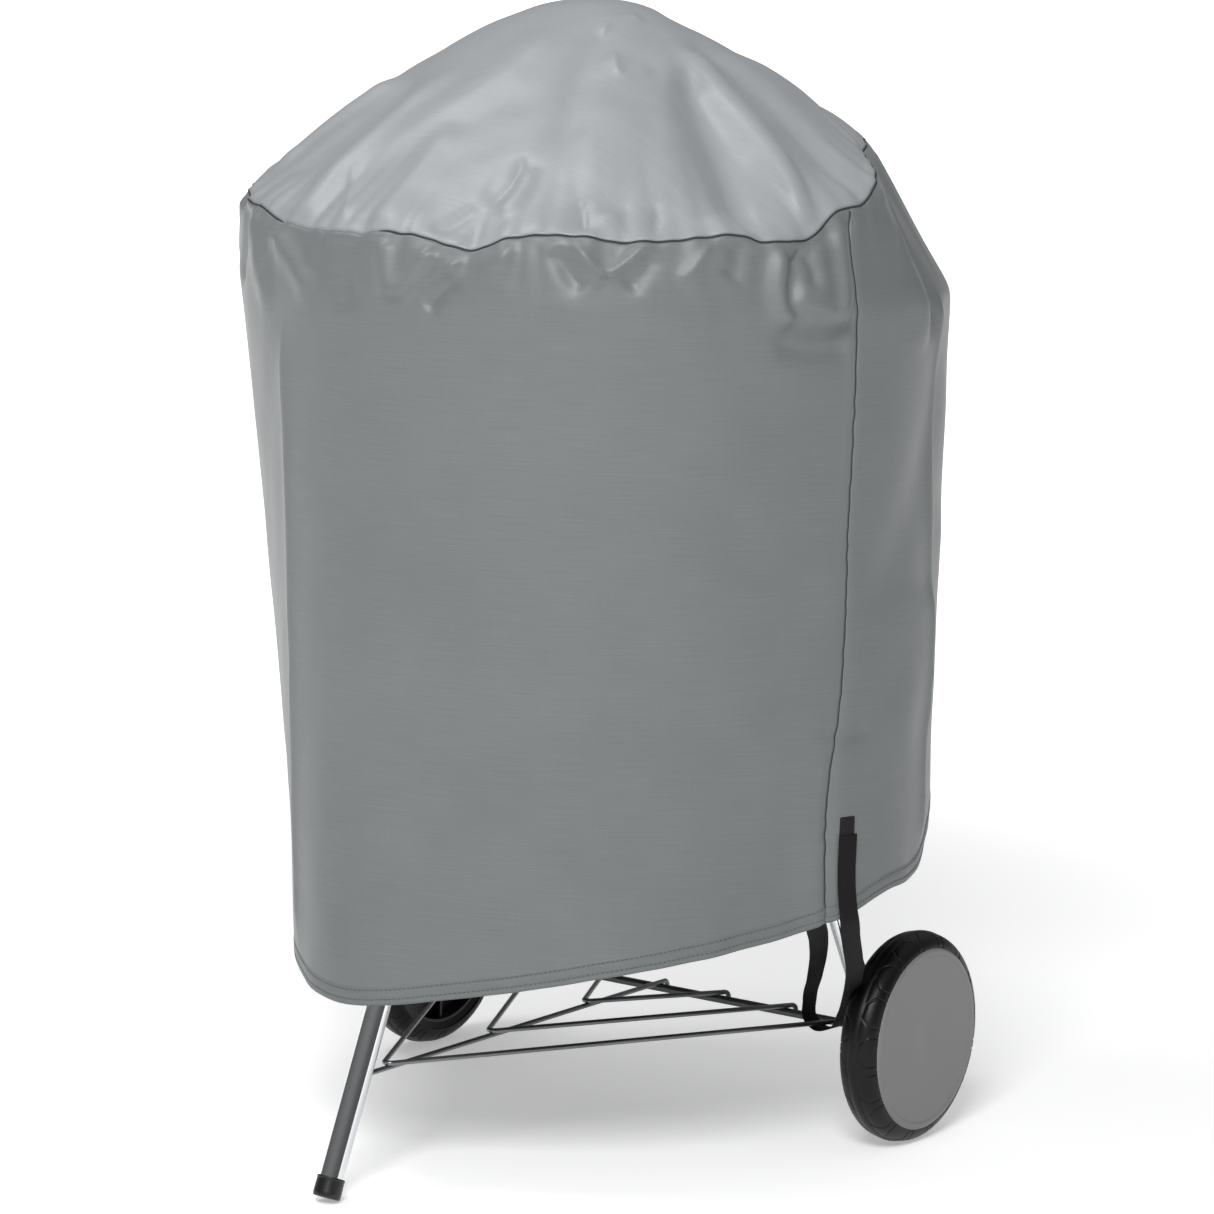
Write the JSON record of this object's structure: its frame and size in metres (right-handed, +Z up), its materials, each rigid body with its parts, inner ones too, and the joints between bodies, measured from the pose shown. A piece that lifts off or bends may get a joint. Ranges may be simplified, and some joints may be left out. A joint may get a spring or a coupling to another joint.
{
  "type": "grill cover",
  "caption": "Fitted grey fabric cover with tie-down straps, hanging over a round three-legged kettle grill on two wheels.",
  "frame": {"origin": "on the ground under the middle of the whole object's box", "axes": "+Z up; -Y towards the front leg; +X towards the right wheel, along the axle"},
  "size_m": [0.7076, 0.712, 1.0703],
  "materials": {
    "enamel": "glossy black porcelain enamel",
    "chrome_tube": "polished chromed steel tube",
    "black_plastic": "moulded black nylon, satin",
    "steel_wire": "grey plated steel, satin",
    "plated_grate": "plated steel wire",
    "aluminium": "spun aluminium, satin",
    "tyre_rubber": "moulded black tread",
    "hub_plastic": "moulded black plastic",
    "grey_cap": "satin grey moulded plastic",
    "cover_cloth": "coated grey polyester weave",
    "cover_top_cloth": "coated grey polyester weave, lighter",
    "webbing": "black woven webbing",
    "hook_pile": "black hook-and-loop pile",
    "rivet_steel": "small steel rivet"
  },
  "bodies": {
    "stand": {"bowl": "enamel", "front_leg": "chrome_tube", "front_leg_socket": "enamel", "right_leg": "chrome_tube", "right_leg_socket": "enamel", "left_leg": "chrome_tube", "left_leg_socket": "enamel", "front_leg_cap": "black_plastic", "right_handle_grip": "black_plastic", "right_handle_bracket": "steel_wire", "left_handle_grip": "black_plastic", "left_handle_bracket": "steel_wire", "axle": "steel_wire", "right_axle_clip": "steel_wire", "left_axle_clip": "steel_wire", "rack_spine": "steel_wire", "rack_outer_vee": "steel_wire", "rack_middle_vee": "steel_wire", "rack_inner_vee": "steel_wire", "cooking_grate": "plated_grate", "charcoal_grate": "plated_grate", "grate_tabs": "steel_wire", "sweeper_bush": "steel_wire", "ash_pan_hanger": "steel_wire"},
    "lid": {"lid": "enamel", "damper_rivet": "aluminium", "lid_handle_grip": "black_plastic", "lid_handle_bracket": "steel_wire", "lid_hook": "steel_wire"},
    "lid_damper": {"lid_damper": "aluminium"},
    "sweeper": {"sweeper_blades": "aluminium", "sweeper_shaft": "steel_wire", "sweeper_lever": "steel_wire"},
    "ash_pan": {"ash_pan": "aluminium"},
    "right_wheel": {"right_tyre": "tyre_rubber", "right_hub": "hub_plastic", "right_hub_cap": "grey_cap"},
    "left_wheel": {"left_tyre": "tyre_rubber", "left_hub": "hub_plastic", "left_hub_cap": "grey_cap"},
    "cover": {"cover_top_panel": "cover_top_cloth", "cover_front_panel": "cover_cloth", "cover_rear_panel": "cover_cloth", "right_hook_patch": "hook_pile", "left_hook_patch": "hook_pile", "right_strap": "webbing", "left_strap": "webbing", "right_strap_rivet": "rivet_steel", "left_strap_rivet": "rivet_steel"}
  },
  "joints": [
    {"name": "cover_lift", "type": "slide", "parent": "stand", "child": "cover", "axis": [0, 0, 1], "range_m": [0, 0.95], "deforming": ["right_strap", "left_strap", "right_strap_rivet", "left_strap_rivet"]},
    {"name": "lid_lift", "type": "slide", "parent": "stand", "child": "lid", "axis": [0, 0, 1], "range_m": [0, 0.33]},
    {"name": "damper_turn", "type": "hinge", "parent": "lid", "child": "lid_damper", "pos_m": [0, 0.174, 0.98597], "axis": [0, 0.3619, 0.9322], "range_deg": [0, 45]},
    {"name": "sweeper_turn", "type": "hinge", "parent": "stand", "child": "sweeper", "pos_m": [0, 0.03399, 0.56], "axis": [0, 0, 1], "range_deg": [-38, 38]},
    {"name": "ash_pan_slide", "type": "slide", "parent": "stand", "child": "ash_pan", "axis": [0.8358, -0.549, 0], "range_m": [0, 0.17]},
    {"name": "right_wheel_roll", "type": "hinge", "parent": "stand", "child": "right_wheel", "pos_m": [0.287, 0.1809, 0.1016], "axis": [1, 0, 0], "continuous": true},
    {"name": "left_wheel_roll", "type": "hinge", "parent": "stand", "child": "left_wheel", "pos_m": [-0.287, 0.1809, 0.1016], "axis": [1, 0, 0], "continuous": true}
  ],
  "couplings": [
    {"joint": "lid_lift", "follows": "cover_lift", "ratio": 0.33}
  ]
}
